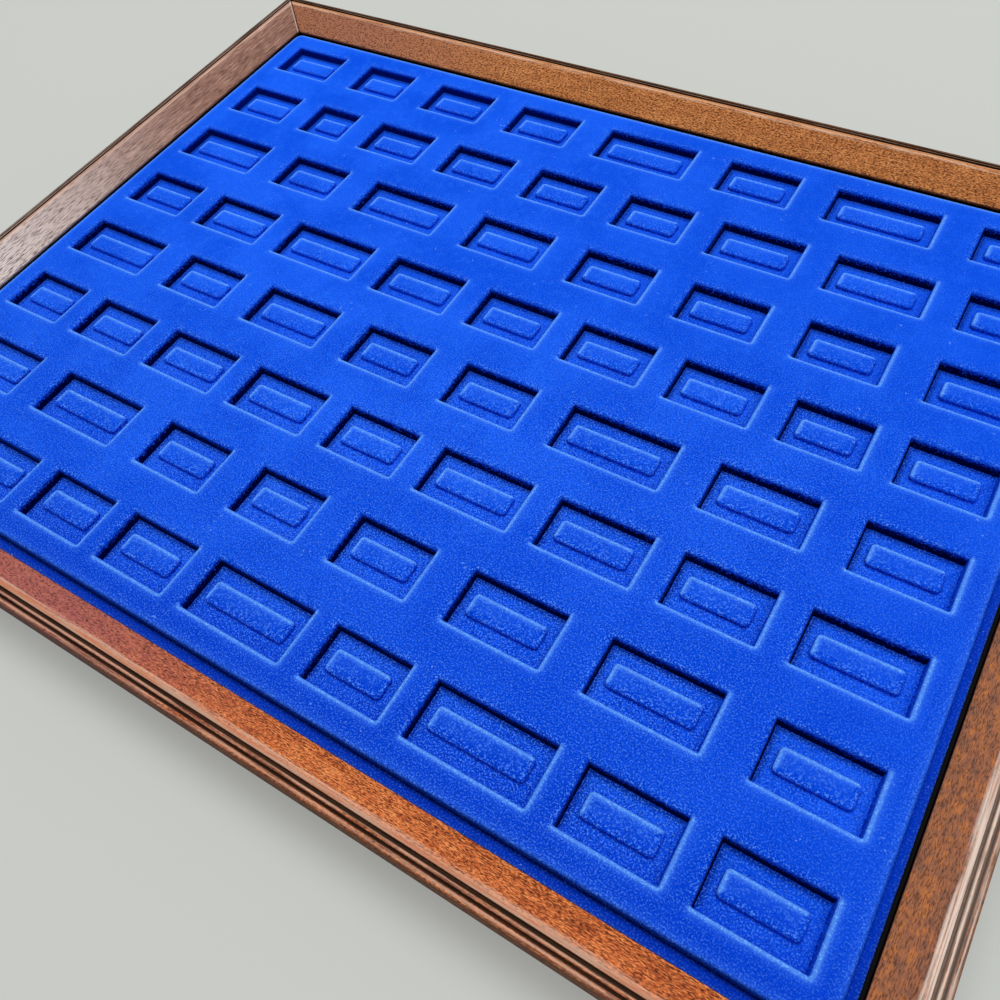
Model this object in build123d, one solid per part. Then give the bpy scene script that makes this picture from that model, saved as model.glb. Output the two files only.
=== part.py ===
from build123d import *
import math
import os

# Jewelry display case: four mitred wooden rails round a drop-in flocked tray.
# Sizes are in millimetres. The origin is the bottom centre of the case,
# +X runs to the right, +Y to the back and +Z up.

# Platform of the tray, the raised field that holds the pits
platform_length = 408.2
platform_width = 305.8
platform_corner = 4.0
pit_depth = 4.4
sheet_thickness = 1.0
wall_draft = 4.0
flange_width = 3.4
flange_corner = 4.0

# Pits, spread evenly between the margins: lengths by letter, rows from back to front
pit_width = 20.6
side_margin = 9.0
end_margin = 10.1
pit_lengths = {"a": 23.8, "b": 28.4, "c": 30.0, "d": 31.8, "e": 35.4, "f": 37.6, "g": 42.6}
pit_rows = ("dbddgdgf", "dadddcefd", "gdgedddd", "degedddbc",
            "gdfddged", "cdeedfede", "ggdcdefd", "efddgcgdd")

# Raised pad in the middle of each pit
pad_width = 8.5
pad_height = 1.9
pad_end_inset = 4.2
pad_corner = 1.6

# Clearance all round the flange in the frame, and how far back and left the loose tray lies
tray_clearance = 0.7
tray_set_back = 0.4
tray_set_left = 0.4

# Rail section, from the lip at the tray out to the skirt
lip_height = 4.2
face_run = 9.2
face_rise = 9.0
strip_width = 1.9
strip_crown = 0.12
strip_fall = 0.25
groove_width = 0.9
groove_depth = 1.4
thin_bead_width = 1.3
thin_bead_drop = 0.4
quirk_width = 0.6
outer_bead_width = 2.0
outer_bead_drop = 0.75
skirt_ease = 0.6

# Rebate under the lip, and the panel that lies in it
rebate_width = 5.2
rebate_depth = 10.7
panel_thickness = 3.0
panel_gap = 0.5

# Flat steel points that hold the panel
point_width = 6.0
point_length = 9.0
point_thickness = 0.5
point_grip = 4.5
point_tip = 2.5
long_side_points = 4
short_side_points = 3

# Bent steel nails across each mitre
nail_leg = 4.0
nail_thickness = 0.6
nail_height = 8.0
nail_set = 1.4
nail_spacing = 3.8
nails_per_corner = 2

# Felt feet
foot_diameter = 9.0
foot_height = 1.5
foot_from_mitre = 12.0

# Levels, counted up from the table
rail_bottom = foot_height
lip_bottom = rail_bottom + rebate_depth
lip_top = lip_bottom + lip_height
rail_top = lip_top + face_rise
flange_top = lip_bottom + sheet_thickness
platform_top = flange_top + pit_depth

# Plan sizes
opening_length = platform_length + 2 * (flange_width + tray_clearance)
opening_width = platform_width + 2 * (flange_width + tray_clearance)
strip_start = face_run
groove_start = strip_start + strip_width
thin_bead_start = groove_start + groove_width
quirk_start = thin_bead_start + thin_bead_width
outer_bead_start = quirk_start + quirk_width
rail_width = outer_bead_start + outer_bead_width
bead_radius = outer_bead_width / 2
skirt_out = outer_bead_start + bead_radius + bead_radius * math.sqrt(0.5)
draft_slope = math.tan(math.radians(wall_draft))

os.makedirs("parts", exist_ok=True)


def rail_section():
    """The moulding's outline, x outward from the lip and y up from the table."""
    thin_radius = thin_bead_width / 2
    thin_centre = rail_top - thin_bead_drop - thin_radius
    outer_centre = rail_top - outer_bead_drop - bead_radius
    groove_floor = rail_top - groove_depth
    skirt_top = outer_centre - bead_radius * math.sqrt(0.5)
    arris = (strip_start, rail_top)
    strip_middle = (strip_start + strip_width / 2, rail_top + strip_crown)
    strip_end = (groove_start, rail_top - strip_fall)
    groove_foot = (groove_start + groove_width / 5, groove_floor)
    thin_in = (thin_bead_start, thin_centre)
    thin_top = (thin_bead_start + thin_radius, thin_centre + thin_radius)
    thin_out = (quirk_start, thin_centre)
    quirk_foot = (quirk_start + quirk_width / 4, outer_centre)
    outer_in = (outer_bead_start, outer_centre)
    outer_top = (outer_bead_start + bead_radius, outer_centre + bead_radius)
    skirt_head = (skirt_out, skirt_top)
    outline = Polyline((rebate_width, lip_bottom), (0, lip_bottom), (0, lip_top), arris)
    outline += ThreePointArc(arris, strip_middle, strip_end)
    outline += Polyline(strip_end, groove_foot, thin_in)
    outline += ThreePointArc(thin_in, thin_top, thin_out)
    outline += Polyline(thin_out, quirk_foot, outer_in)
    outline += ThreePointArc(outer_in, outer_top, skirt_head)
    outline += Polyline(skirt_head, (skirt_out, rail_bottom + skirt_ease),
                        (skirt_out - skirt_ease, rail_bottom), (rebate_width, rail_bottom),
                        (rebate_width, lip_bottom))
    return make_face(outline)


def rail(side_length, side_distance):
    """A rail along X whose lip stands side_distance in front of the centre."""
    reach = side_length / 2 + rail_width
    section_plane = Plane(origin=(reach, -side_distance, 0), x_dir=(0, -1, 0), z_dir=(-1, 0, 0))
    bar = extrude(section_plane * rail_section(), 2 * reach)
    over = 1.0
    inner = side_length / 2 - over
    outer = side_length / 2 + rail_width + over
    near = over - side_distance
    far = -side_distance - rail_width - over
    mitre = make_face(Polyline((-inner, near), (inner, near), (outer, far), (-outer, far), (-inner, near)))
    return bar & extrude(mitre, rail_top + over)


def turned(shape, turn):
    """The shape turned about the vertical through the centre."""
    return Rot(0, 0, turn) * shape


def evenly(count, span):
    """Places of count things in the middle of equal shares of the span."""
    return [span * ((number + 0.5) / count - 0.5) for number in range(count)]


def panel_point(along, side_distance):
    """A flat point under the panel, half in the wall of the front rebate."""
    wall = side_distance + rebate_width
    head = wall - (point_length - point_grip)
    tip = wall + point_grip
    half = point_width / 2
    outline = Polyline((along - half, -head), (along + half, -head), (along + half, -tip + point_tip),
                       (along, -tip), (along - half, -tip + point_tip), (along - half, -head))
    low = lip_bottom - panel_thickness - point_thickness
    return Pos(0, 0, low) * extrude(make_face(outline), point_thickness)


def all_panel_points():
    """The points along all four sides."""
    points = []
    for along in evenly(long_side_points, opening_length):
        for turn in (0, 180):
            points.append(turned(panel_point(along, opening_width / 2), turn))
    for along in evenly(short_side_points, opening_width):
        for turn in (90, 270):
            points.append(turned(panel_point(along, opening_length / 2), turn))
    return points


def corner_nail(corner_x, corner_y, apart):
    """A nail bent square, its bend on the mitre and a leg in each rail."""
    sign_x = math.copysign(1, corner_x)
    sign_y = math.copysign(1, corner_y)

    def place(out_x, out_y):
        return (corner_x + sign_x * out_x, corner_y + sign_y * out_y)

    near = apart
    thick = apart + nail_thickness
    far = apart + nail_leg
    outline = Polyline(place(near, near), place(far, near), place(far, thick), place(thick, thick),
                       place(thick, far), place(near, far), place(near, near))
    return Pos(0, 0, rail_bottom) * extrude(make_face(outline), nail_height)


def all_corner_nails():
    """Two nails across each of the four mitres."""
    nails = []
    for corner_x in (-opening_length / 2, opening_length / 2):
        for corner_y in (-opening_width / 2, opening_width / 2):
            for number in range(nails_per_corner):
                apart = rebate_width + nail_set + nail_spacing * number
                nails.append(corner_nail(corner_x, corner_y, apart))
    return nails


def backing_panel():
    """The board in the rebate, its top against the lip."""
    length = opening_length + 2 * (rebate_width - panel_gap)
    width = opening_width + 2 * (rebate_width - panel_gap)
    low = lip_bottom - panel_thickness
    return Pos(0, 0, low) * extrude(Rectangle(length, width), panel_thickness)


def felt_foot(side_x, side_y):
    """A felt disc under the front or back rail, beside the mitre."""
    foot_x = side_x * (opening_length / 2 - foot_from_mitre)
    foot_y = side_y * (opening_width / 2 + (rebate_width + skirt_out) / 2)
    return Pos(foot_x, foot_y, 0) * extrude(Circle(foot_diameter / 2), foot_height)


def tapered(outline, low, high, spread):
    """A block on the outline whose walls lean out upward, or in where spread is -1."""
    return extrude(Pos(0, 0, low) * outline, high - low, taper=-spread * wall_draft)


def pit_places():
    """Centre and length of every pit, row by row from the back."""
    first_row = platform_width / 2 - end_margin - pit_width / 2
    pitch = 2 * first_row / (len(pit_rows) - 1)
    places = []
    for number, letters in enumerate(pit_rows):
        lengths = [pit_lengths[letter] for letter in letters]
        free = platform_length - 2 * side_margin - sum(lengths)
        gap = free / (len(lengths) - 1)
        start = side_margin - platform_length / 2
        for length in lengths:
            places.append((start + length / 2, first_row - pitch * number, length))
            start += length + gap
    return places


def pit_tools(pit_length):
    """What a pit takes from the sheet at the centre: well, and shell and pad cave beneath."""
    over = 1.0
    lean = pit_depth * draft_slope
    floor_length = pit_length - 2 * lean
    floor_width = pit_width - 2 * lean
    well = tapered(Rectangle(floor_length, floor_width), flange_top, platform_top + over, 1)
    shell_outline = Rectangle(floor_length + 2 * sheet_thickness, floor_width + 2 * sheet_thickness)
    shell = tapered(shell_outline, lip_bottom, platform_top, 1)
    pad_lean = pad_height * draft_slope
    pad_length = pit_length - 2 * pad_end_inset + 2 * pad_lean
    pad_foot = pad_width + 2 * pad_lean
    pad_top = flange_top + pad_height
    pad = tapered(RectangleRounded(pad_length, pad_foot, pad_corner + pad_lean), flange_top, pad_top, -1)
    cave_outline = RectangleRounded(pad_length - 2 * sheet_thickness, pad_foot - 2 * sheet_thickness,
                                    pad_corner + pad_lean - sheet_thickness)
    cave = tapered(cave_outline, lip_bottom, pad_top - sheet_thickness, -1)
    return well - pad, shell, cave


def display_tray():
    """One formed sheet: rim flange, raised platform, pits and pads, hollow beneath."""
    lean = pit_depth * draft_slope
    length = platform_length + 2 * lean
    width = platform_width + 2 * lean
    corner = platform_corner + lean
    body = tapered(RectangleRounded(length, width, corner), flange_top, platform_top, -1)
    flange = RectangleRounded(platform_length + 2 * flange_width, platform_width + 2 * flange_width,
                              flange_corner)
    body += Pos(0, 0, lip_bottom) * extrude(flange, sheet_thickness)
    inside = RectangleRounded(length - 2 * sheet_thickness, width - 2 * sheet_thickness,
                              corner - sheet_thickness)
    hollow = tapered(inside, lip_bottom, platform_top - sheet_thickness, -1)
    tools = {pit_length: pit_tools(pit_length) for pit_length in pit_lengths.values()}
    wells = []
    shells = []
    caves = []
    for centre_x, centre_y, pit_length in pit_places():
        well, shell, cave = tools[pit_length]
        there = Pos(centre_x, centre_y, 0)
        wells.append(there * well)
        shells.append(there * shell)
        caves.append(there * cave)
    return Pos(-tray_set_left, tray_set_back, 0) * body.cut(hollow.cut(*shells), *wells, *caves)


# Build every piece and write it to its own file
points = all_panel_points()
nails = all_corner_nails()
steel = points + nails
long_rail = rail(opening_length, opening_width / 2)
short_rail = rail(opening_width, opening_length / 2)
pieces = {
    "front_rail": long_rail.cut(*steel),
    "back_rail": turned(long_rail, 180).cut(*steel),
    "right_rail": turned(short_rail, 90).cut(*steel),
    "left_rail": turned(short_rail, 270).cut(*steel),
    "backing_panel": backing_panel(),
    "panel_points": Compound(points),
    "corner_v_nails": Compound(nails),
    "display_tray": display_tray(),
}
for end_name, side_y in (("front", -1), ("back", 1)):
    for side_name, side_x in (("left", -1), ("right", 1)):
        pieces["felt_foot_" + end_name + "_" + side_name] = felt_foot(side_x, side_y)
for name, shape in pieces.items():
    export_step(shape, "parts/" + name + ".step")
print("opening", round(opening_length, 2), round(opening_width, 2))
print("overall", round(opening_length + 2 * rail_width, 2), round(opening_width + 2 * rail_width, 2),
      round(rail_top + strip_crown, 2))
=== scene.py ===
import math

import bmesh
import bpy
import numpy as np
from mathutils import Matrix, Vector
from mathutils.geometry import delaunay_2d_cdt


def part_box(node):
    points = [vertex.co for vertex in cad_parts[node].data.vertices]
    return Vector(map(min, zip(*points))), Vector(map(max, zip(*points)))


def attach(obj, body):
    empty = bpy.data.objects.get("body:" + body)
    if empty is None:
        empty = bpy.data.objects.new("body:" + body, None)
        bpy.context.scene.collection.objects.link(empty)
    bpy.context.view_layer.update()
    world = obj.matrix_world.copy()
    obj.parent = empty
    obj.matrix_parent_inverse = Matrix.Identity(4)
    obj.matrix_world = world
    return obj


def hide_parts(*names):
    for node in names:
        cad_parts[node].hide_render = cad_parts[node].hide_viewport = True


# Jewelry display case: mitred mahogany rails round a drop-in tray of blue flocked sheet.
# Sizes are in millimetres and are turned into metres where a mesh is made.

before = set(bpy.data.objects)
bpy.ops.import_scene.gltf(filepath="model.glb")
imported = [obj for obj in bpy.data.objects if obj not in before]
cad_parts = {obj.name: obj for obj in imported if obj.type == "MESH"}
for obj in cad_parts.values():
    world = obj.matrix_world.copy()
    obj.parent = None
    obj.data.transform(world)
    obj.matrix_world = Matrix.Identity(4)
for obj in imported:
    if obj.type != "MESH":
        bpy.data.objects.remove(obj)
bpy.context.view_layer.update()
MM = 0.001


def node_box(node):
    """Lowest and highest corner of a node of the frame, in millimetres."""
    low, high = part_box(node)
    return low / MM, high / MM


# Moulding of the rails, from the lip at the tray out to the skirt
lip_height = 4.2
face_run = 9.2
strip_width = 1.9
strip_crown = 0.12
strip_fall = 0.25
groove_width = 0.9
groove_depth = 1.4
thin_bead_width = 1.3
thin_bead_drop = 0.4
quirk_width = 0.6
outer_bead_width = 2.0
outer_bead_drop = 0.75
skirt_ease = 0.6
rebate_width = 5.2
rebate_depth = 10.7
mitre_gap = 0.07
mitre_ease = 0.38
mitre_band = 0.8

# Tray, pits and pads
flange_width = 3.4
platform_corner = 4.0
sheet_thickness = 1.0
wall_draft = math.radians(4.0)
pit_width = 20.6
side_margin = 9.0
end_margin = 10.1
pit_lengths = {"a": 23.8, "b": 28.4, "c": 30.0, "d": 31.8, "e": 35.4, "f": 37.6, "g": 42.6}
pit_rows = ("dbddgdgf", "dadddcefd", "gdgedddd", "degedddbc",
            "gdfddged", "cdeedfede", "ggdcdefd", "efddgcgdd")
pit_corner = 0.5
pad_width = 8.5
pad_height = 1.9
pad_end_inset = 4.2
pad_corner = 1.6

# Softness of the formed and flocked edges, the turn toward the lamp in degrees from +X, which the
# painted highlights and shade on the flock follow, the points in a ring's corner, the share of a bead's
# width that its arcs take, the longest side of the rails' outline, how far the strip's painted sheen
# runs past it, and where the bare flange begins
rim_radius = 1.2
floor_radius = 1.0
pad_rim_radius = 0.9
pad_foot_radius = 0.5
edge_radius = 1.4
fuzz_radius = 0.3
front_fuzz = 0.7
lamp_turn = 130.0
corner_steps = 5
full_round = 0.499
outline_step = 1.1
past_groove = 0.1
bare_edge = 1.6

# Sizes that follow from the frame
rail_low, rail_high = node_box("front_rail")
tray_low, tray_high = node_box("display_tray")
rail_width = (face_run + strip_width + groove_width + thin_bead_width
              + quirk_width + outer_bead_width)
opening_length = 2 * (rail_high.x - rail_width)
opening_width = 2 * (node_box("left_rail")[1].y - rail_width)
rail_bottom = rail_low.z
rail_top = rail_high.z - strip_crown
lip_bottom = rail_bottom + rebate_depth
platform_length = tray_high.x - tray_low.x - 2 * flange_width
platform_width = tray_high.y - tray_low.y - 2 * flange_width
tray_middle = (tray_low + tray_high) / 2
platform_top = tray_high.z
sheet_bottom = tray_low.z
flange_top = sheet_bottom + sheet_thickness
pit_depth = platform_top - flange_top


class Signal:
    """A shader socket. Arithmetic on it adds Math nodes, and numbers alone stay in Python."""

    def __init__(self, finish, socket):
        self.finish = finish
        self.socket = socket

    def math(self, operation, first, second):
        node = self.finish.add("ShaderNodeMath", {"operation": operation}, {0: first, 1: second})
        return Signal(self.finish, node.outputs[0])

    def __add__(self, other):
        return self.math("ADD", self, other)

    def __radd__(self, other):
        return self.math("ADD", other, self)

    def __sub__(self, other):
        return self.math("SUBTRACT", self, other)

    def __rsub__(self, other):
        return self.math("SUBTRACT", other, self)

    def __mul__(self, other):
        return self.math("MULTIPLY", self, other)

    def __rmul__(self, other):
        return self.math("MULTIPLY", other, self)

    def between(self, low, high):
        """A smooth rise from 0 where the value is low to 1 where it is high."""
        settings = {"interpolation_type": "SMOOTHSTEP"}
        sockets = {"Value": self, "From Min": low, "From Max": high}
        return Signal(self.finish, self.finish.add("ShaderNodeMapRange", settings, sockets).outputs[0])


class Finish:
    """A material whose nodes are added one by one."""

    def __init__(self, name):
        self.material = bpy.data.materials.new(name)
        self.material.use_nodes = True
        self.tree = self.material.node_tree
        self.shader = self.tree.nodes["Principled BSDF"]
        self.place = self.add("ShaderNodeTexCoord", {}, {}).outputs["Object"]

    def put(self, socket, value):
        """Links the socket to a signal or an output, or sets it to a value."""
        if isinstance(value, Signal):
            value = value.socket
        if isinstance(value, bpy.types.NodeSocket):
            self.tree.links.new(value, socket)
        else:
            socket.default_value = value

    def add(self, kind, settings, sockets):
        """A node of this kind, with its settings made first and then its sockets filled."""
        node = self.tree.nodes.new(kind)
        for name, value in settings.items():
            setattr(node, name, value)
        for key, value in sockets.items():
            self.put(node.inputs[key], value)
        return node

    def painted(self, name):
        """The value that the mesh holds under this name."""
        node = self.add("ShaderNodeAttribute", {"attribute_name": name}, {})
        return Signal(self, node.outputs["Fac"])

    def along(self, axis):
        """The object's own coordinate along an axis, in metres."""
        node = self.add("ShaderNodeSeparateXYZ", {}, {0: self.place})
        return Signal(self, node.outputs[axis])

    def noise(self, size, detail=2.0, shift=0.0, distortion=0.0):
        """Noise whose blotches have this size along x, y and z, in millimetres."""
        scale = [1 / (side * MM) for side in size]
        place = self.add("ShaderNodeMapping", {}, {"Vector": self.place, "Scale": scale,
                                                   "Location": (shift, shift, shift)})
        sockets = {"Vector": place.outputs[0], "Scale": 1.0, "Detail": detail, "Distortion": distortion}
        return Signal(self, self.add("ShaderNodeTexNoise", {}, sockets).outputs["Fac"])

    def mix(self, amount, first, second, way="MIX"):
        """The first colour, mixed with the second by the amount."""
        settings = {"data_type": "RGBA", "blend_type": way}
        node = self.add("ShaderNodeMix", settings, {"Factor": amount, 6: first, 7: second})
        return Signal(self, node.outputs[2])

    def bump(self, height, depth, strength=1.0):
        """A normal bent by the height, whose full rise is depth millimetres."""
        node = self.add("ShaderNodeBump", {}, {"Height": height, "Distance": depth * MM,
                                               "Strength": strength})
        return Signal(self, node.outputs[0])

    def surface(self, **sockets):
        """Fills the shader's own sockets. An underscore in a name stands for a space."""
        for name, value in sockets.items():
            self.put(self.shader.inputs[name.replace("_", " ")], value)
        return self.material


def colour(red, green, blue):
    """A colour with full opacity, from linear values."""
    return (red, green, blue, 1.0)


class Skin:
    """The points, faces and painted values of one mesh, gathered block by block."""

    def __init__(self, names):
        self.count = 0
        self.points = []
        self.painted = {name: [] for name in names}
        self.quads = []
        self.other_faces = []
        self.marks = []

    def add(self, points, **painted):
        """Adds a block of points and returns their numbers in the block's own shape."""
        shape = points.shape[:-1]
        numbers = self.count + np.arange(math.prod(shape)).reshape(shape)
        self.count += numbers.size
        self.points.append(points.reshape(-1, 3))
        for name, values in self.painted.items():
            values.append(np.broadcast_to(painted.get(name, 0.0), shape).ravel())
        return numbers

    def bands(self, rings, mark=0):
        """Quads between each ring and the next, round and round."""
        first = rings[..., :-1, :]
        second = rings[..., 1:, :]
        around = [first, np.roll(first, -1, axis=-1), np.roll(second, -1, axis=-1), second]
        quads = np.stack(around, axis=-1).reshape(-1, 4)
        self.quads.append(quads)
        self.marks.append(np.full(len(quads), mark))

    def faces(self, loops, mark=0):
        """One face for each row of numbers."""
        self.other_faces.append((loops, mark))

    def mesh(self, name, smooth_angle):
        """The mesh, in metres, with its faces turned outward and sharp edges kept."""
        faces = np.concatenate(self.quads).tolist()
        marks = np.concatenate(self.marks).tolist()
        for loops, mark in self.other_faces:
            faces += loops.tolist()
            marks += [mark] * len(loops)
        mesh = bpy.data.meshes.new(name)
        mesh.from_pydata((np.concatenate(self.points) * MM).tolist(), [], faces)
        mesh.polygons.foreach_set("material_index", marks)
        shell = bmesh.new()
        shell.from_mesh(mesh)
        bmesh.ops.recalc_face_normals(shell, faces=shell.faces)
        shell.to_mesh(mesh)
        shell.free()
        for painted_name, values in self.painted.items():
            attribute = mesh.attributes.new(painted_name, "FLOAT", "POINT")
            attribute.data.foreach_set("value", np.concatenate(values).astype(np.float32))
        mesh.shade_smooth()
        mesh.set_sharp_from_angle(angle=math.radians(smooth_angle))
        return mesh


def show(name, mesh, body, finishes, slot, *nodes):
    """The finished piece: it rides on the body and stands for the nodes."""
    piece = bpy.data.objects.new(name, mesh)
    bpy.context.scene.collection.objects.link(piece)
    for material in finishes:
        mesh.materials.append(material)
    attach(piece, body)
    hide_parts(*nodes)
    return piece


def eased(corners, radii, steps):
    """A closed outline whose corners are arcs. Each arc begins and ends at radius times the
    tangent of half the turn from its corner, and turns about a centre square to the side."""
    coming = corners - np.roll(corners, 1, axis=0)
    coming /= np.linalg.norm(coming, axis=1, keepdims=True)
    going = np.roll(coming, -1, axis=0)
    turn = np.arctan2(coming[:, 0] * going[:, 1] - coming[:, 1] * going[:, 0],
                      (coming * going).sum(axis=1))
    start = corners - coming * (radii * np.tan(abs(turn) / 2))[:, None]
    square = np.stack([-coming[:, 1], coming[:, 0]], axis=1) * np.sign(turn)[:, None]
    centre = start + square * radii[:, None]
    angle = turn[:, None] * np.linspace(0, 1, steps)
    spoke = (start - centre)[:, None, :]
    x = spoke[..., 0] * np.cos(angle) - spoke[..., 1] * np.sin(angle)
    y = spoke[..., 0] * np.sin(angle) + spoke[..., 1] * np.cos(angle)
    return (centre[:, None, :] + np.stack([x, y], axis=-1)).reshape(-1, 2)


def finely(outline, longest):
    """The closed outline with even extra points, so that no side is longer than the length."""
    following = np.roll(outline, -1, axis=0)
    lengths = np.linalg.norm(following - outline, axis=1)
    shares = np.maximum(1, np.ceil(lengths / longest)).astype(int)
    side = np.repeat(np.arange(len(outline)), shares)
    step = np.arange(len(side)) - np.repeat(np.cumsum(shares) - shares, shares)
    part = (step / shares[side])[:, None]
    return outline[side] * (1 - part) + following[side] * part


def near(outline, places, spread):
    """1 at the nearest of the places and falling off as a bell of this spread."""
    gap = np.linalg.norm(outline[:, None, :] - np.array(places)[None, :, :], axis=2).min(axis=1)
    return np.exp(-(gap / spread) ** 2)


def rail_outline(shade_spread):
    """The moulding's outline, outward and up from the lip, and what is painted along it: worn arrises
    with painted highlights on them and on the bead tops, painted shade in the hollows, on the lip's inner
    wall, on the outer flank, on the skirt and at its foot by the table, the flat strip's painted sheen,
    and the beads."""
    strip_end = face_run + strip_width
    thin_start = strip_end + groove_width
    thin_end = thin_start + thin_bead_width
    outer_start = thin_end + quirk_width
    bead_radius = outer_bead_width / 2
    thin_top = rail_top - thin_bead_drop
    outer_top = rail_top - outer_bead_drop
    outer_middle = outer_top - bead_radius
    skirt_out = outer_start + bead_radius + bead_radius * math.sqrt(0.5)
    skirt_top = outer_middle - bead_radius * math.sqrt(0.5)
    lip_top = lip_bottom + lip_height
    table = (
        (rebate_width, lip_bottom, 0.1),
        (0, lip_bottom, 0.2),
        (0, lip_top, 0.35),
        (face_run, rail_top, 0.45),
        (face_run + strip_width / 2, rail_top + strip_crown, 2.0),
        (strip_end, rail_top - strip_fall, 0.25),
        (strip_end + groove_width / 5, rail_top - groove_depth, 0.12),
        (thin_start, rail_top - groove_depth + 0.15, 0.12),
        (thin_start, thin_top, full_round * thin_bead_width),
        (thin_end, thin_top, full_round * thin_bead_width),
        (thin_end + quirk_width / 4, outer_middle, 0.1),
        (outer_start, outer_middle, 0.1),
        (outer_start, outer_top, full_round * outer_bead_width),
        (rail_width, outer_top, full_round * outer_bead_width),
        (rail_width, outer_middle - bead_radius * math.tan(math.pi / 8), 0.9 * bead_radius),
        (skirt_out, skirt_top, 0.08),
        (skirt_out, rail_bottom, skirt_ease),
        (rebate_width, rail_bottom, 0.3),
    )
    corners = np.array([row[:2] for row in table], float)
    radii = np.array([row[2] for row in table])
    outline = finely(eased(corners, radii, 6), outline_step)
    across, level = outline.T
    # Worn arrises, with painted highlights on them and on the bead tops
    wear_and_highlight = near(outline, [(face_run, rail_top), (strip_end, rail_top - strip_fall)], 0.4)
    thin_middle = (thin_start + thin_end) / 2
    outer_bead_middle = outer_start + bead_radius
    bead_tops = [(thin_middle, thin_top), (outer_bead_middle, outer_top)]
    wear_and_highlight = np.maximum(wear_and_highlight, near(outline, bead_tops, 0.5))
    hollows = [(strip_end + groove_width / 2, rail_top - groove_depth), (outer_start, outer_middle),
               (thin_start, rail_top - groove_depth * 0.6), (outer_start, outer_middle + 0.4),
               (thin_end, outer_middle), (skirt_out, skirt_top)]
    # Painted shade in the hollows of the moulding
    crease_shade = np.clip(1.8 * near(outline, hollows, shade_spread) - 0.25, 0, 1)
    # The lip's inner wall, painted near black as shade
    lip = ((level < lip_top - 0.4) & (across < rebate_width / 2)).astype(float)
    # A dark line of painted shade at the skirt's foot by the table
    at_table = near(outline, [(skirt_out, rail_bottom + 0.4)], 1.0)
    crease_shade = np.maximum(crease_shade, 0.8 * at_table * (across > rebate_width))
    # The flat strip, which carries a painted sheen
    flat_top = level > rail_top - strip_fall - 0.1
    on_strip = flat_top & (across < strip_end + past_groove)
    strip = np.interp(across, [face_run - 0.1, face_run + 0.9], [0, 1]) * on_strip
    bead = ((across >= strip_end + past_groove) & (level > skirt_top)).astype(float)
    # The skirt, painted darker and greyer as shade
    skirt = ((across > skirt_out - skirt_ease) & (level < skirt_top + 0.1)).astype(float)
    # The outer flank, painted dark as shade
    flank = np.interp(across, [outer_bead_middle - 0.6, outer_bead_middle], [0, 1])
    flank = flank * (level > skirt_top)
    return outline, {"wear_and_highlight": wear_and_highlight, "crease_shade": crease_shade, "lip": lip, "strip": strip, "bead": bead,
                     "skirt": skirt, "flank": flank}


def rail_mesh(name, half_side, half_across, turn, shade_spread):
    """A rail as its outline carried along x: at share t of the length, a point that lies out
    from the lip stands at t times the half side plus that distance, so that the ends are mitred."""
    outline, paint = rail_outline(shade_spread)
    stations = 25
    tangent = np.roll(outline, -1, axis=0) - np.roll(outline, 1, axis=0)
    tangent /= np.linalg.norm(tangent, axis=1, keepdims=True)
    inward = np.stack([tangent[:, 1], -tangent[:, 0]], axis=1) * mitre_ease
    share = np.linspace(-1, 1, stations)
    share = np.concatenate([share[:1], share[:1], share, share[-1:], share[-1:]])
    drawn_in = np.zeros(stations + 4)
    drawn_in[[0, -1]] = 1.0
    at_mitre = np.zeros(stations + 4)
    at_mitre[[0, 1, -2, -1]] = 1.0
    shape = outline[None, :, :] + inward[None, :, :] * drawn_in[:, None, None]
    back_off = mitre_gap + mitre_ease * (1 - drawn_in) + mitre_band * (1 - at_mitre)
    back_off[3:-3] = 0.0
    out = shape[..., 0]
    along = share[:, None] * (half_side + out) - np.sign(share)[:, None] * back_off[:, None]
    points = np.stack([along, -(half_across + out), shape[..., 1]], axis=-1)
    angle = math.radians(turn)
    spin = np.array([[math.cos(angle), math.sin(angle), 0], [-math.sin(angle), math.cos(angle), 0],
                     [0, 0, 1]])
    paint = {name: np.broadcast_to(value, out.shape) for name, value in paint.items()}
    paint["mitre"] = np.broadcast_to(at_mitre[:, None], out.shape)
    skin = Skin(("wear_and_highlight", "crease_shade", "lip", "strip", "bead", "skirt", "flank", "mitre"))
    rings = skin.add(points @ spin, **paint)
    skin.bands(rings)
    skin.faces(rings[[0, -1]])
    return skin.mesh(name, 40)


def step_down(depth, rim, foot):
    """Profile from an upper level down a drafted wall: a rim arc, the wall and a foot arc.
    The offset is 0 where the upper level would meet the wall and grows over the upper side."""
    sine = math.sin(wall_draft)
    cosine = math.cos(wall_draft)
    turn = np.linspace(math.pi / 2, math.pi - wall_draft, 6)
    rim_offset = rim * (1 - sine) / cosine + rim * np.cos(turn)
    rim_height = -rim + rim * np.sin(turn)
    turn = np.linspace(-wall_draft, -math.pi / 2, 5)
    foot_height = -depth + foot
    foot_offset = (-foot + foot_height * sine) / cosine + foot * np.cos(turn)
    foot_height = foot_height + foot * np.sin(turn)
    return np.concatenate([rim_offset, foot_offset]), np.concatenate([rim_height, foot_height])


def steepness(offset, height):
    """The profile's slope at each point in degrees, 0 on the flat and 90 on a plumb wall."""
    return np.degrees(np.arctan2(abs(np.gradient(height)), abs(np.gradient(offset))))


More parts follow.
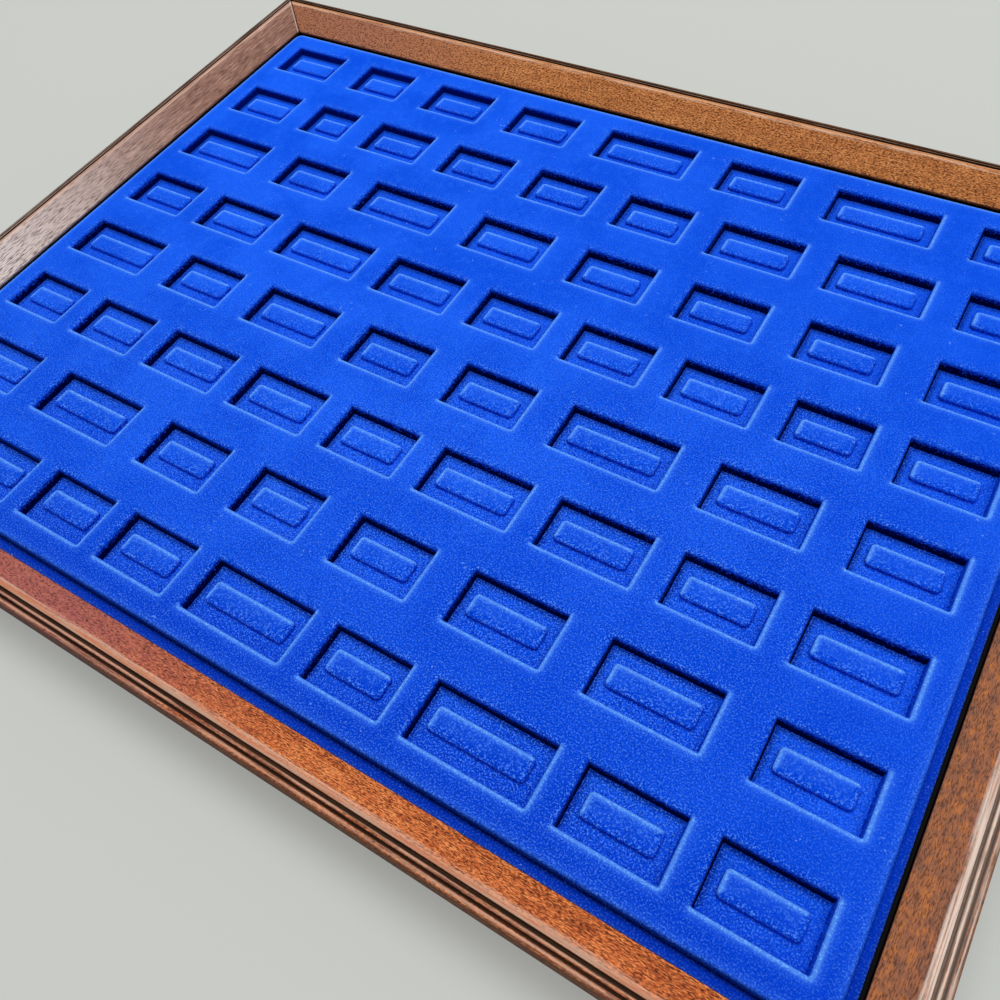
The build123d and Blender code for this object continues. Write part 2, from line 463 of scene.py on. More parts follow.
def rounded_rings(half_x, half_y, corner, offset, height, steps=corner_steps):
    """Rings of a rounded rectangle, each moved out by an offset at a height. A point is its
    corner's centre plus the corner radius times the cosine and sine of its turn."""
    half_x = np.asarray(half_x, float)[..., None, None]
    half_y = np.asarray(half_y, float)[..., None, None]
    turn = corner_turns(steps)
    side_x = np.repeat([1, -1, -1, 1], steps)
    side_y = np.repeat([1, 1, -1, -1], steps)
    offset = np.asarray(offset, float)[:, None]
    radius = np.maximum(corner + offset, 0.3)
    x = side_x * (half_x + offset - radius) + radius * np.cos(turn)
    y = side_y * (half_y + offset - radius) + radius * np.sin(turn)
    z = np.broadcast_to(np.asarray(height, float)[:, None], x.shape)
    return np.stack([x, y, z], axis=-1)


def corner_turns(steps):
    """Turn of each point of a ring about its corner's centre, four quarters of even steps."""
    quarter = np.arange(4)[:, None] * math.pi / 2
    return (quarter + np.linspace(0, math.pi / 2, steps)).ravel()


def toward_lamp(steps, side):
    """How far the side of a step faces the lamp, which the painted highlights and shade follow: 1
    toward it, 0 away from it. The side is 1 where the wall looks out of its ring and -1 where it looks in."""
    against = corner_turns(steps) - math.radians(lamp_turn)
    return np.clip(0.5 + 1.1 * side * np.cos(against), 0, 1)


def pit_places():
    """Centre x, centre y and length of every pit, row by row from the back."""
    first_row = platform_width / 2 - end_margin - pit_width / 2
    pitch = 2 * first_row / (len(pit_rows) - 1)
    places = []
    for number, letters in enumerate(pit_rows):
        lengths = np.array([pit_lengths[letter] for letter in letters])
        gap = (platform_length - 2 * side_margin - lengths.sum()) / (len(lengths) - 1)
        ends = side_margin - platform_length / 2 + np.cumsum(lengths + gap) - gap
        rows = np.full(len(lengths), first_row - pitch * number)
        places.append(np.stack([ends - lengths / 2, rows, lengths], axis=1))
    return np.concatenate(places)


def field_faces(points, loops, holes):
    """Triangles of the flat field between an outer loop and the hole loops, from a triangulation
    that keeps the loops as edges. A triangle with all its corners on one hole is left out."""
    numbers = np.concatenate([loop.ravel() for loop in loops])
    owner = np.concatenate([np.full(loop.size, number) for number, loop in enumerate(loops)])
    where = {number: place for place, number in enumerate(numbers.tolist())}
    edges = []
    for loop in loops:
        for first, second in zip(loop.tolist(), np.roll(loop, -1).tolist()):
            edges.append((where[first], where[second]))
    flat = [Vector(point) for point in points[numbers][:, :2].tolist()]
    triangles = np.array(delaunay_2d_cdt(flat, edges, [], 0, 1e-6)[2])
    of = owner[triangles]
    in_hole = (of[:, 0] == of[:, 1]) & (of[:, 1] == of[:, 2]) & (of[:, 0] < holes)
    return numbers[triangles[~in_hole]]


def step_paint(rings, offset, height, upper_level, brushed):
    """Painted values of a stack of rings that step down from the upper level: the painted highlight line
    on the bend and the painted glow beside it where the side faces the lamp, the rough speckled shoulder
    where it faces away, and the steep wall and how deep it lies, which set the walls' painted shade. The
    offset is 0 where the wall begins and grows over the upper side. Brushed is how far the side faces
    the lamp."""
    slope = steepness(offset, height)[:, None]
    offset = np.asarray(offset)[:, None]
    drop = upper_level - np.asarray(height)[:, None]
    above = np.exp(-(drop / 0.8) ** 2)
    bend = np.interp(slope, [45, 70], [1, 0]) * np.exp(-(np.maximum(offset - 0.9, 0) / 0.5) ** 2)
    bend = bend * above
    beside = np.exp(-(np.maximum(offset - 0.4, 0) / 2.0) ** 2) * above
    wall_above = np.interp(slope, [35, 75], [0, 1])
    wall_below = np.interp(slope, [5, 45], [0, 1])
    wall = np.where(drop > pit_depth / 2, wall_below, wall_above)
    values = {"line": bend * brushed, "painted_glow": beside * brushed,
              "shoulder": np.maximum(bend, beside * 0.7) * (1 - brushed),
              "wall": wall, "deep": np.clip(drop / pit_depth, 0, 1)}
    return {name: np.broadcast_to(value, rings.shape[:-1]) for name, value in values.items()}


def tray_mesh():
    """One closed sheet, worked out about its own middle and then set where the frame has it. On
    top, each pit is a stack of rounded rings from the field over the rim to the floor and up the
    pad, and the platform's edge is a stack of rings out to the flange. Beneath are the hollow,
    the outsides of the pits and the hollows of the pads."""
    skin = Skin(("line", "painted_glow", "shoulder", "wall", "deep", "ledge", "floor", "shade"))
    places = pit_places()
    centre = np.concatenate([places[:, :2], np.zeros((len(places), 1))], axis=1)[:, None, None, :]
    half_length = places[:, 2] / 2
    half_width = np.full(len(places), pit_width / 2)
    pad_half_length = half_length - pad_end_inset
    pad_half_width = np.full(len(places), pad_width / 2)

    # Pits: gentle fall to the rim, rim arc, wall, floor arc and a ring out on the floor, which
    # stays clear of the pad
    step_offset, step_height = step_down(pit_depth, rim_radius, floor_radius)
    floor_offset = step_offset[-1] - 1.6
    well_offset = np.concatenate([[4.2, 3.0, 2.1, 1.5], step_offset, [floor_offset]])
    well_height = np.concatenate([[0, -0.02, -0.05, -0.08], step_height - 0.1, [-pit_depth]])
    well_height = platform_top + well_height
    well_height = np.maximum(well_height, flange_top)
    well = rounded_rings(half_length, half_width, pit_corner, well_offset, well_height) + centre
    # brushed is how far each side faces the lamp; it sets the painted highlight, glow and shade below
    brushed = toward_lamp(corner_steps, -1)
    well_paint = step_paint(well, well_offset, well_height, platform_top, brushed)
    # On the sides that face the lamp the walls' painted shade is lighter and covers more of the wall
    well_paint["deep"] = well_paint["deep"] * (1 - 0.75 * brushed)
    well_paint["wall"] = well_paint["wall"] * (1 + 0.3 * brushed)
    foot_marks = [floor_offset, step_offset[-1], step_offset[-3]]
    at_foot = np.interp(well_offset, foot_marks, [1, 0.8, 0])[:, None]
    well_paint["floor"] = np.broadcast_to(at_foot, well.shape[:-1])
    near_foot = np.interp(well_offset, foot_marks, [0, 1, 0])[:, None]
    well_paint["shade"] = near_foot * (1 - brushed)
    well_rings = skin.add(well, **well_paint)
    skin.bands(well_rings)

    # Pads: foot arc, wall, rim arc, flat top
    step_offset, step_height = step_down(pad_height, pad_rim_radius, pad_foot_radius)
    pad_offset = -np.concatenate([[2.4, 1.5], step_offset])[::-1]
    pad_level = flange_top + pad_height + np.concatenate([[0, -0.02], step_height])[::-1]
    pad_offset = np.concatenate([[pad_offset[0] + 0.6], pad_offset])
    pad_level = np.concatenate([[flange_top], pad_level])
    pad = rounded_rings(pad_half_length, pad_half_width, pad_corner, pad_offset, pad_level) + centre
    pad_top = flange_top + pad_height
    pad_paint = step_paint(pad, -pad_offset, pad_level, pad_top, toward_lamp(corner_steps, 1))
    at_foot = np.interp(pad_level, [flange_top, flange_top + 0.5], [1, 0])[:, None]
    pad_paint["floor"] = np.broadcast_to(at_foot, pad.shape[:-1])
    pad_paint["deep"] = pad_paint["deep"] * (pad_level > flange_top)[:, None]
    pad_paint["wall"] = pad_paint["wall"] * 0.85
    pad_rings = skin.add(pad, **pad_paint)
    skin.bands(pad_rings)
    skin.bands(np.stack([well_rings[:, -1], pad_rings[:, 0]], axis=1))
    skin.faces(pad_rings[:, -1])

    # Edge of the platform, wall, flange, its fuzzy rim, and the hollow beneath
    edge_steps = 9
    step_offset, step_height = step_down(pit_depth, edge_radius, floor_radius)
    fuzz_turn = np.linspace(math.pi / 2, 0, 4)
    fuzz_offset = flange_width - fuzz_radius + fuzz_radius * np.cos(fuzz_turn)
    fuzz_height = flange_top - fuzz_radius + fuzz_radius * np.sin(fuzz_turn)
    bare_offset = [bare_edge, flange_width - 0.7]
    edge_offset = np.concatenate([[-4.6, -3.2, -2.2], -step_offset, bare_offset, fuzz_offset,
                                  [flange_width]])
    edge_level = np.concatenate([platform_top + np.concatenate([[0, -0.02, -0.05], step_height]),
                                 [flange_top, flange_top], fuzz_height, [sheet_bottom]])
    edge = rounded_rings([platform_length / 2], [platform_width / 2], platform_corner, edge_offset,
                         edge_level, edge_steps)
    on_flange = np.interp(edge_offset, [bare_edge, flange_width], [0, 1])[:, None]
    edge[..., 1] -= front_fuzz * on_flange * (edge[..., 1] < 0)
    edge_paint = step_paint(edge, -edge_offset, edge_level, platform_top, toward_lamp(edge_steps, 1))
    # The platform's edge: painted glow on all its sides, and a painted highlight line and specks at the fuzzy
    # rim
    edge_paint["painted_glow"] = np.maximum(edge_paint["painted_glow"], 0.8 * edge_paint["shoulder"])
    edge_paint["shoulder"] = 0.6 * edge_paint["shoulder"]
    at_fuzz = np.exp(-((edge_offset - flange_width) / 0.5) ** 2)[:, None]
    edge_lit = toward_lamp(edge_steps, 1)
    edge_paint["line"] = np.maximum(edge_paint["line"], at_fuzz * (0.15 + 0.5 * edge_lit))
    edge_paint["shoulder"] = np.maximum(edge_paint["shoulder"], at_fuzz * (1 - edge_lit))
    on_ledge = np.interp(edge_offset, [0, 0.6], [0, 1])[:, None]
    facing = abs(np.sin(corner_turns(edge_steps)))
    edge_paint["ledge"] = on_ledge * (0.85 + 0.15 * facing)
    edge_paint["shade"] = np.interp(edge_offset, [0, 0.6, bare_edge], [0, 1, 0])[:, None] * facing
    # The platform's walls are painted darker as shade at the front and back than at the sides
    edge_paint["wall"] = edge_paint["wall"] * (0.3 + 0.7 * facing)
    edge_paint["deep"] = edge_paint["deep"] * (edge_offset < 0.6)[:, None] * 0.5 * facing
    edge_rings = skin.add(edge, **edge_paint)
    skin.bands(edge_rings)
    lean = math.tan(wall_draft) * (pit_depth + sheet_thickness)
    roof = platform_top - sheet_thickness
    hollow_offset = [lean - sheet_thickness, -sheet_thickness]
    hollow = rounded_rings([platform_length / 2], [platform_width / 2], platform_corner, hollow_offset,
                           [sheet_bottom, roof], edge_steps)
    hollow_rings = skin.add(hollow)
    skin.bands(np.concatenate([edge_rings[:, -1:], hollow_rings], axis=1), mark=1)

    # Beneath each pit: shell, its bottom and the hollow of the pad
    shell_lean = math.tan(wall_draft) * pit_depth
    shell_offset = [sheet_thickness, sheet_thickness - shell_lean]
    shell = rounded_rings(half_length, half_width, pit_corner, shell_offset, [roof, sheet_bottom]) + centre
    cave_offset = [math.tan(wall_draft) * pad_height - sheet_thickness, -sheet_thickness]
    cave_top = flange_top + pad_height - sheet_thickness
    cave = rounded_rings(pad_half_length, pad_half_width, pad_corner, cave_offset,
                         [sheet_bottom, cave_top]) + centre
    shell_rings = skin.add(shell)
    cave_rings = skin.add(cave)
    skin.bands(np.concatenate([shell_rings, cave_rings], axis=1), mark=1)
    skin.faces(cave_rings[:, -1], mark=1)

    for part in skin.points:
        part += (tray_middle.x, tray_middle.y, 0)
    points = np.concatenate(skin.points)
    top_loops = [ring for ring in well_rings[:, 0]] + [edge_rings[0, 0]]
    roof_loops = [ring for ring in shell_rings[:, 0]] + [hollow_rings[0, -1]]
    skin.faces(field_faces(points, top_loops, len(places)))
    skin.faces(field_faces(points, roof_loops, len(places)), mark=1)
    return skin.mesh("flocked_tray", 50)


def foot_mesh(name, node):
    """A felt disc: rings whose radius and height follow a rounded edge, drawn in a little at the
    waist, and closed above and below."""
    low, high = node_box(node)
    middle = (low + high) / 2
    radius = (high.x - low.x) / 2
    height = high.z - low.z
    ease = 0.35
    turn = np.linspace(0, math.pi / 2, 5)
    radii = np.concatenate([[radius - 1.2], radius - ease + ease * np.sin(turn), [radius - 0.08],
                            (radius - ease + ease * np.sin(turn))[::-1], [radius - 1.2]])
    heights = np.concatenate([[low.z], low.z + ease - ease * np.cos(turn), [low.z + height / 2],
                              (high.z - ease + ease * np.cos(turn))[::-1], [high.z]])
    around = np.linspace(0, 2 * math.pi, 40, endpoint=False)
    x = middle.x + radii[:, None] * np.cos(around)
    y = middle.y + radii[:, None] * np.sin(around)
    points = np.stack([x, y, np.broadcast_to(heights[:, None], x.shape)], axis=-1)
    skin = Skin(())
    rings = skin.add(points)
    skin.bands(rings)
    skin.faces(rings[[0, -1]])
    return skin.mesh(name, 60)


def mahogany(name, along, look):
    """Satin mahogany. Ribbons, streaks, short fibre and round patches run from dark to pale, dark
    pores and pale flecks lie among them, and toward one end the tone moves to painted light: a pale
    painted reflection on the left rail, a slightly lighter tone on the right and painted shade on the
    front and back. The flat strip carries a painted sheen, the beads are streaked, the skirt is darker
    and greyer as painted shade, the arrises are worn pale with painted highlights on them and on the
    bead tops, and the hollows, the lip's inner wall, the outer flank and the foot by the table are
    painted dark as shade."""
    wood = Finish(name)

    def grain(size, detail=2.0, more=0.0):
        length, width = size
        sides = (length, width, width) if along == 0 else (width, length, width)
        return wood.noise(sides, detail, look["shift"] + more)

    streak = grain((22, 0.7), 3.0, 1.0)
    fibre = grain(look["fibre"], 2.0, 2.0)
    patch = wood.noise([look["patch"]] * 3, 2.0, look["shift"] + 3.0)
    ribbon_share, streak_share, fibre_share, patch_share = look["shares"]
    tone = 0.5 + (grain((90, 6), 3.0) - 0.5) * ribbon_share + (streak - 0.5) * streak_share
    tone = tone + (fibre - 0.5) * fibre_share + (patch - 0.5) * patch_share
    ground = wood.mix(tone.between(0.15, 0.5), look["dark"], look["middle"])
    ground = wood.mix(tone.between(0.5, 0.85), ground, look["pale"])
    # Painted light toward one end: a pale painted reflection on the left rail, a slightly lighter tone on the
    # right, painted shade on the front and back
    end_lighting_tone, end_lighting_low, end_lighting_high, end_lighting_share = look["end_lighting"]
    end_lighting_amount = wood.along(along).between(min(end_lighting_low, end_lighting_high), max(end_lighting_low, end_lighting_high))
    if end_lighting_low > end_lighting_high:
        end_lighting_amount = 1.0 - end_lighting_amount
    lively = 1.0 - (1.0 - end_lighting_amount) * look["calm"]
    fleck = grain(look["pore"], 1.0, 8.0).between(0.54, 0.66)
    ground = wood.mix(fleck * lively * look["fleck"], ground, look["pale"])
    ground = wood.mix(end_lighting_amount * end_lighting_share, ground, end_lighting_tone)
    pore = grain(look["pore"], 1.0, 4.0).between(0.52, 0.62)
    ground = wood.mix(pore * lively * look["pore_depth"], ground, colour(0.06, 0.02, 0.012))
    line = grain((18, 0.42), 2.0, 6.0)
    # The flat strip, painted paler as a sheen
    strip_sheen_tone = wood.mix(line.between(0.4, 0.62) * 0.7, look["strip"], look["middle"])
    ground = wood.mix(wood.painted("strip") * 0.92, ground, strip_sheen_tone)
    ground = wood.mix(wood.painted("bead") * line.between(0.36, 0.6) * 0.7, ground, look["bead"])
    # Worn arrises and bead tops, painted pale as wear and highlight
    wear_and_highlight = wood.painted("wear_and_highlight") * streak.between(0.36, 0.56)
    ground = wood.mix(wear_and_highlight * 0.8, ground, look["wear_and_highlight"])
    # The skirt, painted darker and greyer as shade
    ground = wood.mix(wood.painted("skirt") * 0.75, ground, colour(0.09, 0.06, 0.045))
    ground = wood.mix(wood.painted("mitre") * 0.8, ground, look["mitre"])
    # Painted shade: the hollows and the foot by the table go near black
    crease_shade = wood.painted("crease_shade")
    # The outer flank is painted dark as shade, as far as the look's share
    flank = wood.painted("flank") * look["flank"]
    ground = wood.mix(flank, ground, colour(0.006, 0.003, 0.002))
    ground = wood.mix(crease_shade * (0.74 + streak * 0.45), ground, look["hollow"])
    # The lip's inner wall is painted near black as shade
    ground = wood.mix(wood.painted("lip") * 0.98, ground, colour(0.003, 0.0015, 0.001))
    bare = crease_shade.math("MAXIMUM", crease_shade, flank + wood.painted("lip"))
    return wood.surface(Base_Color=ground, Roughness=0.55 + pore * 0.2 + streak * 0.1,
                        Coat_Weight=look["sheen"] * (1.0 - pore) * (1.0 - bare), Coat_Roughness=0.36,
                        Specular_IOR_Level=0.0, Normal=wood.bump(fibre * 0.5 - pore, 0.07, 0.6))


def blue_flock():
    """Royal-blue nylon flock. Fine light and dark specks lie over brushed patches. Bends turned toward
    the lamp carry a painted highlight line with a painted glow beside it, those turned away are rough
    with specks, and the walls are painted as shade from dark blue to near black. The near right corner,
    the near edge and the far right are painted deeper in tone as shade, the foot of the walls and the
    flange by the platform's wall carry painted shadow, and the far half, the right end and the far left
    corner are smoother."""
    flock = Finish("blue_flock")
    deep = flock.painted("deep")
    floor = flock.painted("floor")
    ledge = flock.painted("ledge")
    shoulder = flock.painted("shoulder")
    speck = flock.noise((0.5, 0.5, 0.5), 3.0)
    dust = flock.noise((0.55, 0.55, 0.55), 3.0, 5.0)
    tuft = flock.noise((0.9, 0.9, 0.9), 2.0, 9.0)
    cloud = flock.noise((3.4, 3.4, 3.4), 3.0, 21.0)
    brushed = flock.noise((26, 26, 26), 3.0, 2.0)
    broad = flock.noise((150, 150, 150), 1.0, 4.0)
    ground = flock.mix(brushed.between(0.35, 0.65), colour(0.003, 0.084, 0.81), colour(0.009, 0.118, 0.95))
    ground = flock.mix(broad.between(0.35, 0.65) * 0.25, ground, colour(0.001, 0.06, 0.66))
    ground = flock.mix(cloud.between(0.5, 0.7) * 0.24, ground, colour(0.02, 0.18, 1.0))
    near_corner_shade = (flock.along(0) * 0.6 - flock.along(1)).between(0.0, 0.2)
    far_corner = (flock.along(1) - flock.along(0) * 0.6).between(0.1, 0.24)
    far_half = 1.0 - (flock.along(0) * 0.3 - flock.along(1)).between(-0.05, 0.05)
    far_right_shade = flock.along(0).between(-0.02, 0.12) * far_half
    # Painted shade: darker tone over the near right corner, the far right and the near edge
    ground = flock.mix(near_corner_shade * (0.6 - floor * 0.4), ground, colour(0.001, 0.05, 0.66))
    ground = flock.mix(far_right_shade * 0.35, ground, colour(0.001, 0.06, 0.66))
    near_front_shade = (0.0 - flock.along(1)).between(0.115, 0.15)
    ground = flock.mix(near_front_shade * 0.5, ground, colour(0.0008, 0.035, 0.56))
    # A painted glow beside bends that face the lamp
    ground = flock.mix(flock.painted("painted_glow") * 0.5, ground, colour(0.04, 0.19, 1.0))
    ground = flock.mix(ledge * 0.94, ground, colour(0.0005, 0.031, 0.5))
    ground = flock.mix(flock.painted("shade") * 0.7, ground, colour(0.0004, 0.005, 0.16))
    dark_speck = speck.between(0.49, 0.6)
    light_speck = dust.between(0.52, 0.62)
    right_end = flock.along(0).between(0.13, 0.19)
    fine = (1.0 - far_half * 0.5) * (1.0 - right_end * 0.35) * (1.0 - far_corner * 0.7)
    dark_share = (0.56 + floor * 0.3) * fine + shoulder * 0.4
    ground = flock.mix(dark_speck * dark_share, ground, colour(0.0005, 0.024, 0.36))
    light_share = ((0.44 + floor * 0.3) * fine + shoulder * 0.45) * (1.0 - ledge * 0.5)
    ground = flock.mix(light_speck * light_share, ground, colour(0.09, 0.28, 1.0))
    strewn = flock.noise((9, 9, 9), 0.0, 17.0).between(0.6, 0.66)
    lint = flock.noise((0.9, 0.9, 0.9), 0.0, 13.0).between(0.79, 0.815) * strewn
    ground = flock.mix(lint * 0.45, ground, colour(0.22, 0.42, 0.95))
    rough = ((speck - 0.5) * 2.3 + (tuft - 0.5) * 1.2) * (1.0 - far_corner * 0.6)
    # The walls, painted as shade from dark blue at the top to near black toward the foot
    in_wall = (flock.painted("wall") * (0.45 + deep * 0.75 + rough)).between(0.42, 0.7)
    wall_depth = (deep + rough * 0.25).between(0.2, 0.56) * (1.0 - far_corner * 0.3)
    wall_shade_tone = flock.mix(wall_depth, colour(0.0008, 0.024, 0.38), colour(0.0003, 0.0006, 0.036))
    ground = flock.mix(in_wall, ground, wall_shade_tone)
    # A painted highlight line on bends that face the lamp
    painted_highlight_line = flock.painted("line") * (0.45 + light_speck * 0.55) * (1.0 - in_wall)
    ground = flock.mix(painted_highlight_line * 0.92, ground, colour(0.17, 0.46, 1.0))
    height = speck + dust + tuft * 0.5
    return flock.surface(Base_Color=ground, Roughness=0.95, Specular_IOR_Level=0.0, Sheen_Weight=0.7,
                         Sheen_Roughness=0.28, Sheen_Tint=colour(0.015, 0.15, 1.0),
                         Normal=flock.bump(height, 0.24, 0.7))


def bare_sheet():
    """The unflocked back of the formed sheet: dull blue plastic with faint chill marks."""
    sheet = Finish("bare_sheet")
    mark = sheet.noise((22, 22, 22), 3.0)
    ground = sheet.mix(mark.between(0.3, 0.7), colour(0.012, 0.03, 0.16), colour(0.018, 0.045, 0.22))
    return sheet.surface(Base_Color=ground, Roughness=0.42 + mark * 0.15)


def hardboard():
    """Pressed brown board with fine fibres and darker flecks; its upper face, in shade under the tray, is
    painted near black as shade.
    """
    board = Finish("hardboard")
    fibre = board.noise((2.2, 0.5, 0.5), 4.0)
    fleck = board.noise((1.1, 1.1, 1.1), 1.0, 2.0).between(0.66, 0.74)
    ground = board.mix(fibre.between(0.35, 0.65), colour(0.2, 0.115, 0.06), colour(0.29, 0.18, 0.1))
    ground = board.mix(fleck * 0.7, ground, colour(0.08, 0.045, 0.025))
    # The upper face lies in shade under the tray and is painted near black as shade
    shaded_upper_face = board.along(2).between((lip_bottom - 0.2) * MM, (lip_bottom - 0.1) * MM)
    ground = board.mix(shaded_upper_face, ground, colour(0.004, 0.004, 0.005))
    return board.surface(Base_Color=ground, Roughness=0.7 + fibre * 0.2, Specular_IOR_Level=0.1,
                         Normal=board.bump(fibre, 0.05, 0.4))


def bright_steel():
    """Zinc-bright steel with fine drawing lines and dull spots."""
    steel = Finish("bright_steel")
    line = steel.noise((4.0, 0.12, 0.12), 2.0)
    spot = steel.noise((0.9, 0.9, 0.9), 2.0, 3.0)
    ground = steel.mix(spot.between(0.5, 0.75), colour(0.58, 0.58, 0.59), colour(0.36, 0.35, 0.34))
    return steel.surface(Base_Color=ground, Metallic=1.0, Roughness=0.26 + line * 0.22 + spot * 0.1,
                         Normal=steel.bump(line, 0.02, 0.4))


def pressed_felt():
    """Dark brown felt: matted fibres with a few paler hairs."""
    felt = Finish("pressed_felt")
    mat = felt.noise((0.5, 0.5, 0.3), 3.0)
    hair = felt.noise((1.6, 0.16, 0.3), 1.0, 2.0).between(0.6, 0.7)
    ground = felt.mix(mat.between(0.3, 0.7), colour(0.035, 0.022, 0.016), colour(0.09, 0.06, 0.042))
    ground = felt.mix(hair * 0.6, ground, colour(0.2, 0.15, 0.11))
    return felt.surface(Base_Color=ground, Roughness=0.95, Specular_IOR_Level=0.1, Sheen_Weight=0.4,
                        Sheen_Roughness=0.5, Normal=felt.bump(mat, 0.15, 0.8))


def dress_node(node, material):
    """Gives a node of the frame its material."""
    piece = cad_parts[node]
    piece.data.materials.clear()
    piece.data.materials.append(material)


# Looks of the four rails: the tones from pale to dark, the painted light toward one end (a pale
# painted reflection on the left rail, a slightly lighter tone on the right, painted shade on the front
# and back) with where it begins and is full along the rail in metres and its share, the lengths and
# widths of fibre and pores, the size of the patches, the shares of pores, of flecks and of the outer
# flank's painted shade, how calm the grain is away from the painted light, how far the painted shade
# of the hollows spreads, and the shares of ribbon, streak, fibre and patch in the tone
front_look = {
    "pale": colour(0.94, 0.33, 0.1), "middle": colour(0.62, 0.135, 0.032), "dark": colour(0.22, 0.045, 0.014),
    "end_lighting": (colour(0.4, 0.125, 0.125), 0.05, -0.06, 0.72), "strip": colour(0.56, 0.35, 0.25),
    "wear_and_highlight": colour(0.66, 0.4, 0.28), "bead": colour(0.16, 0.06, 0.04), "mitre": colour(0.3, 0.14, 0.09),
    "hollow": colour(0.03, 0.018, 0.012), "calm": 0.0, "shade_reach": 0.62,
    "fibre": (1.1, 0.36), "patch": 5.0, "pore": (1.3, 0.36), "pore_depth": 0.8, "fleck": 0.5, "flank": 0.1,
    "shares": (0.5, 0.7, 2.0, 0.7), "sheen": 0.24, "shift": 0.0}
right_look = {
    "pale": colour(0.58, 0.2, 0.06), "middle": colour(0.38, 0.148, 0.075), "dark": colour(0.21, 0.1, 0.065),
    "end_lighting": (colour(0.42, 0.17, 0.085), 0.02, 0.12, 0.3), "strip": colour(0.8, 0.64, 0.55),
    "wear_and_highlight": colour(0.85, 0.72, 0.62), "bead": colour(0.2, 0.08, 0.05), "mitre": colour(0.05, 0.03, 0.02),
    "hollow": colour(0.2, 0.16, 0.135), "calm": 0.0, "shade_reach": 0.42,
    "fibre": (1.8, 0.5), "patch": 3.2, "pore": (1.4, 0.4), "pore_depth": 0.5, "fleck": 0.34, "flank": 0.2,
    "shares": (0.5, 0.9, 0.8, 1.3), "sheen": 0.24, "shift": 11.0}
back_look = {
    "pale": colour(0.8, 0.34, 0.11), "middle": colour(0.57, 0.19, 0.05), "dark": colour(0.26, 0.085, 0.025),
    "end_lighting": (colour(0.42, 0.17, 0.11), -0.04, -0.18, 0.7), "strip": colour(0.46, 0.2, 0.085),
    "wear_and_highlight": colour(0.85, 0.56, 0.38), "bead": colour(0.2, 0.07, 0.035), "mitre": colour(0.05, 0.025, 0.015),
    "hollow": colour(0.004, 0.002, 0.002), "calm": 0.0, "shade_reach": 1.1,
    "fibre": (0.9, 0.42), "patch": 3.4, "pore": (1.2, 0.42), "pore_depth": 0.75, "fleck": 0.4, "flank": 0.7,
    "shares": (0.4, 0.5, 1.8, 0.5), "sheen": 0.24, "shift": 23.0}
left_look = {
    "pale": colour(0.46, 0.26, 0.185), "middle": colour(0.29, 0.135, 0.088), "dark": colour(0.16, 0.07, 0.05),
    "end_lighting": (colour(0.88, 0.78, 0.72), 0.09, -0.12, 0.86), "strip": colour(0.44, 0.22, 0.135),
    "wear_and_highlight": colour(0.8, 0.52, 0.4), "bead": colour(0.2, 0.07, 0.04), "mitre": colour(0.8, 0.66, 0.56),
    "hollow": colour(0.005, 0.002, 0.002), "calm": 0.5, "shade_reach": 0.85,
    "fibre": (8.0, 0.4), "patch": 7.0, "pore": (4.2, 0.27), "pore_depth": 0.8, "fleck": 0.5, "flank": 0.8,
    "shares": (0.5, 0.8, 1.4, 0.3), "sheen": 0.8, "shift": 37.0}

# Rails: side, length and distance, turn, the axis along it and its look
rails = (
    ("front", opening_length, opening_width, 0, 0, front_look),
    ("right", opening_width, opening_length, 90, 1, right_look),
    ("back", opening_length, opening_width, 180, 0, back_look),
    ("left", opening_width, opening_length, 270, 1, left_look),
)
for side, length, across, turn, along, look in rails:
    finish = mahogany(side + "_mahogany", along, look)
    moulding = rail_mesh(side + "_moulding", length / 2, across / 2, turn, look["shade_reach"])
    show(side + "_moulding", moulding, "case", [finish], "mahogany", side + "_rail")

# Tray
show("flocked_tray", tray_mesh(), "tray", [blue_flock(), bare_sheet()], "blue_flock", "display_tray")

# Felt feet
felt_finish = pressed_felt()
for place in ("front_left", "front_right", "back_left", "back_right"):
    disc = foot_mesh("felt_disc_" + place, "felt_foot_" + place)
    show("felt_disc_" + place, disc, "case", [felt_finish], "felt", "felt_foot_" + place)

# Panel and steel
dress_node("backing_panel", hardboard())
steel_finish = bright_steel()
dress_node("panel_points", steel_finish)
dress_node("corner_v_nails", steel_finish)


def bright_to_sight(finish, strength):
    """How bright a backdrop is: the strength for lamps, and 1 where it is seen or mirrored."""
    path = finish.add("ShaderNodeLightPath", {}, {})
    seen = Signal(finish, path.outputs["Is Camera Ray"])
    for name in ("Is Glossy Ray", "Is Transmission Ray"):
        seen = seen.math("MAXIMUM", seen, Signal(finish, path.outputs[name]))
    return strength + seen * (1.0 - strength)


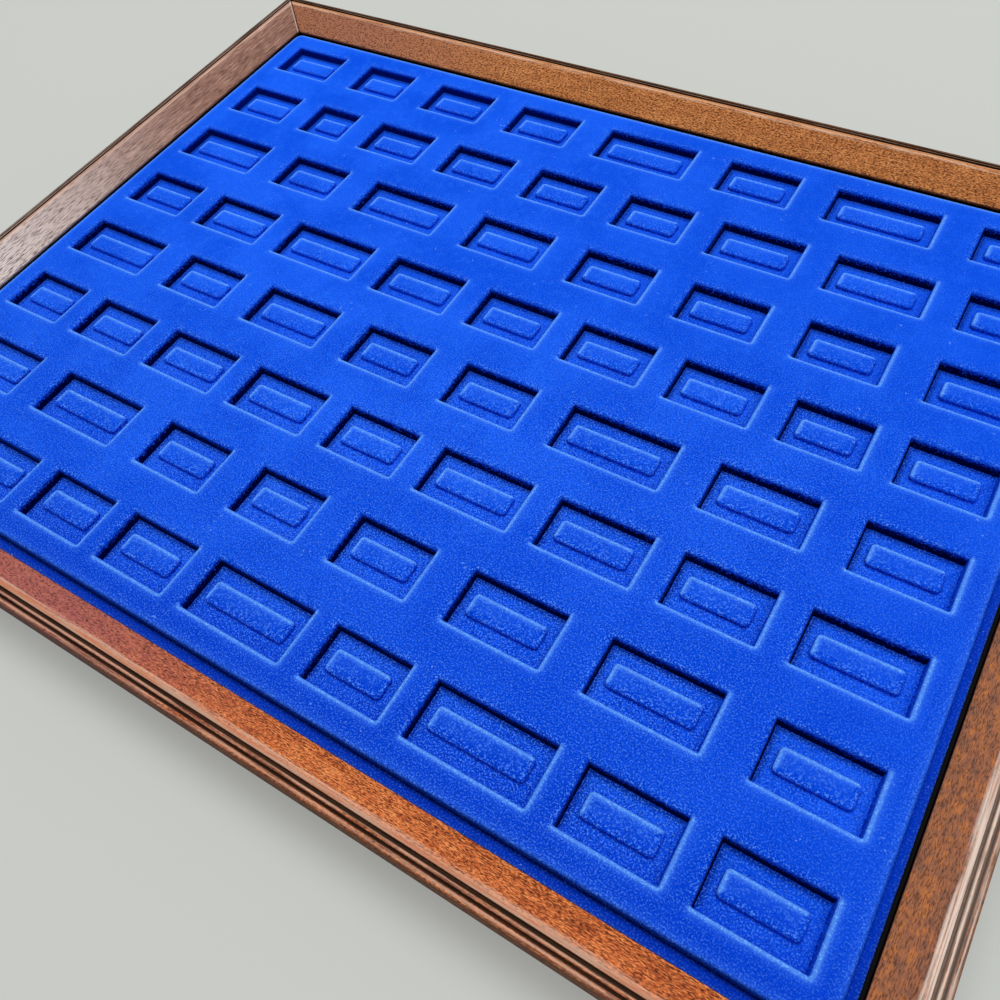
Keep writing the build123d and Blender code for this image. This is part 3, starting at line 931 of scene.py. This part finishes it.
def pale_floor():
    """A wide plain floor at the foot of the case. Part of its brightness is its own, seen by the
    camera and in reflections, so that the shadow on it is light."""
    half = 4.0
    mesh = bpy.data.meshes.new("floor")
    corners = [(-half, -half, 0), (half, -half, 0), (half, half, 0), (-half, half, 0)]
    mesh.from_pydata(corners, [], [(0, 1, 2, 3)])
    floor = bpy.data.objects.new("floor", mesh)
    bpy.context.scene.collection.objects.link(floor)
    finish = Finish("pale_floor")
    mottle = finish.noise((900, 900, 900), 1.0)
    ground = finish.mix(mottle, colour(0.3, 0.31, 0.29), colour(0.33, 0.34, 0.32))
    own_light = bright_to_sight(finish, 0.0) * 0.26
    mesh.materials.append(finish.surface(Base_Color=ground, Roughness=0.8, Specular_IOR_Level=0.2,
                                         Emission_Color=colour(0.98, 1.0, 0.95), Emission_Strength=own_light))


def softbox(name, direction, distance, size, watts, tint):
    """A square soft lamp that looks at the case from this direction."""
    lamp = bpy.data.lights.new(name, "AREA")
    lamp.energy = watts
    lamp.size = size
    lamp.color = tint
    holder = bpy.data.objects.new(name, lamp)
    bpy.context.scene.collection.objects.link(holder)
    toward = Vector(direction).normalized()
    holder.location = toward * distance
    holder.rotation_mode = "QUATERNION"
    holder.rotation_quaternion = toward.to_track_quat("Z", "Y")


def room_light():
    """The even light of the room, which is white where it is seen."""
    world = bpy.data.worlds.new("room")
    bpy.context.scene.world = world
    world.use_nodes = True
    room = Finish.__new__(Finish)
    room.tree = world.node_tree
    background = room.tree.nodes["Background"]
    room.put(background.inputs["Color"], colour(0.96, 0.98, 1.0))
    room.put(background.inputs["Strength"], bright_to_sight(room, 0.42))


def photo_camera():
    """The camera, at the place and turn that put the case where the photograph has it."""
    right = Vector((0.84932, 0.51709, -0.10617))
    up = Vector((-0.38265, 0.74162, 0.55098))
    back = right.cross(up)
    camera = bpy.data.cameras.new("camera")
    camera.sensor_width = 36.0
    camera.lens = 32.75
    camera.clip_start = 0.01
    holder = bpy.data.objects.new("camera", camera)
    bpy.context.scene.collection.objects.link(holder)
    turn = Matrix((right, up, back)).transposed().to_4x4()
    holder.matrix_world = Matrix.Translation((0.16642, -0.19075, 0.27648)) @ turn
    bpy.context.scene.camera = holder


pale_floor()
room_light()
softbox("high_lamp", (-0.2, 0.35, 1.5), 1.6, 1.0, 14.5, (1.0, 0.99, 0.97))
softbox("window", (0.6, 0.2, 0.85), 1.8, 0.6, 7.0, (0.97, 0.99, 1.0))
photo_camera()
bpy.context.scene.view_settings.view_transform = "Standard"
